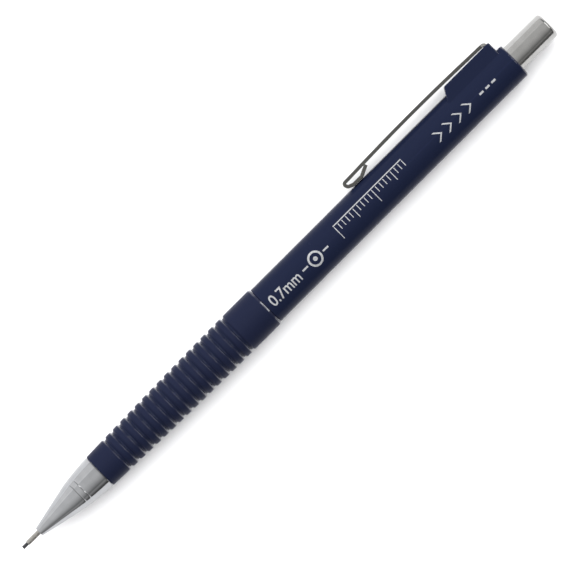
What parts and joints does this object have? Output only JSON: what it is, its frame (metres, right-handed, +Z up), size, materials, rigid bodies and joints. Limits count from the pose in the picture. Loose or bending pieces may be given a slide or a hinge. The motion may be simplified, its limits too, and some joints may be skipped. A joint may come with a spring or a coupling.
{
  "type": "mechanical pencil",
  "caption": "Drafting pencil with a steel cone and guide sleeve, ribbed grip, round barrel, folded spring clip and a push button over an eraser.",
  "frame": {"origin": "centre of the bounding box in X and Y, on the surface that the pencil lies on (its lowest line, under the thick end of the grip)", "axes": "+X along the pencil, from the point of the lead to the push button; +Y towards the clip; +Z up"},
  "size_m": [0.1414, 0.0112, 0.0089],
  "materials": {
    "graphite": "smooth graphite with a low sheen",
    "satin_steel": "drawn steel tube, satin",
    "polished_steel": "polished plating",
    "spring_steel": "bright spring steel with drawn lines",
    "brass": "turned brass",
    "retainer_rubber": "matt black rubber",
    "connector_plastic": "natural acetal",
    "tube_plastic": "extruded plastic tube",
    "eraser_vinyl": "white vinyl eraser",
    "navy_plastic": "glossy dark navy moulded plastic",
    "printing_ink": "silver printing ink"
  },
  "bodies": {
    "barrel": {"barrel": "navy_plastic", "grip": "navy_plastic", "clutch_sleeve": "brass", "return_spring": "spring_steel"},
    "push": {"lead_tube": "tube_plastic", "chuck_connector": "connector_plastic", "chuck": "brass", "eraser_holder": "brass", "spare_lead_1": "graphite", "spare_lead_2": "graphite", "spare_lead_3": "graphite"},
    "clutch": {"clutch_ring": "brass"},
    "lead": {"lead": "graphite"},
    "cap": {"push_button": "polished_steel"},
    "eraser": {"eraser": "eraser_vinyl"},
    "nose_front": {"lead_sleeve": "satin_steel", "lead_retainer": "retainer_rubber"},
    "nose": {"nose_cone": "polished_steel"},
    "clip": {"clip": "spring_steel"}
  },
  "joints": [
    {"name": "press", "type": "slide", "parent": "barrel", "child": "push", "axis": [-1, 0, 0], "range_m": [0, 0.004], "stiffness_N_per_m": 500, "deforming": ["return_spring"]},
    {"name": "clutch_ring_slide", "type": "slide", "parent": "barrel", "child": "clutch", "axis": [-1, 0, 0], "range_m": [0, 0.001]},
    {"name": "lead_feed", "type": "slide", "parent": "barrel", "child": "lead", "axis": [-1, 0, 0], "range_m": [-0.0012, 0.005]},
    {"name": "cap_pull", "type": "slide", "parent": "push", "child": "cap", "axis": [1, 0, 0], "range_m": [0, 0.022]},
    {"name": "eraser_pull", "type": "slide", "parent": "push", "child": "eraser", "axis": [1, 0, 0], "range_m": [0, 0.0055]},
    {"name": "nose_travel", "type": "slide", "parent": "barrel", "child": "nose_front", "axis": [1, 0, 0], "range_m": [-0.00525, 0]},
    {"name": "nose_turn", "type": "hinge", "parent": "nose_front", "child": "nose", "pos_m": [-0.0501, -0.00113, 0.00443], "axis": [1, 0, 0], "range_deg": [-2520, 0]},
    {"name": "clip_flex", "type": "hinge", "parent": "barrel", "child": "clip", "pos_m": [0.05915, 0.00377, 0.00443], "axis": [0, 0, -1], "range_deg": [0, 5], "stiffness_Nm_per_rad": 1.5}
  ],
  "couplings": [
    {"joint": "clutch_ring_slide", "follows": "press", "ratio": 0.25},
    {"joint": "eraser_pull", "follows": "cap_pull", "ratio": 0.25},
    {"joint": "nose_turn", "follows": "nose_travel", "rad_per_m": 8377.6}
  ]
}
